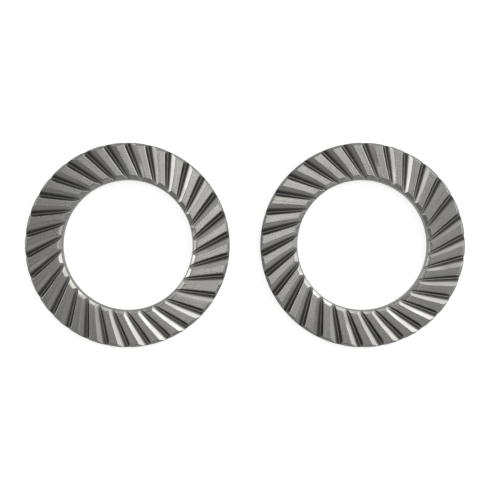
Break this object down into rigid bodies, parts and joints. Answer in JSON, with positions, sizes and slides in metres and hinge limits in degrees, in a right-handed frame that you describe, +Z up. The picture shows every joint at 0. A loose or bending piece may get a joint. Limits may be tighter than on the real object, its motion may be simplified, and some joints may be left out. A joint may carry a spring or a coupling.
{
  "type": "pair of serrated lock washers",
  "caption": "A pair of flat spring steel lock washers, each with slanting ratchet teeth that deepen towards the rim on one side and a smooth back, lying side by side.",
  "frame": {"origin": "midway between the two washers, on the surface that they lie on", "axes": "+X from the left washer to the right one, +Z up, the way the teeth point"},
  "size_m": [0.0344, 0.016, 0.001],
  "materials": {
    "spring_steel": "satin"
  },
  "bodies": {
    "root": {"left_washer": "spring_steel", "right_washer": "spring_steel"}
  },
  "joints": []
}
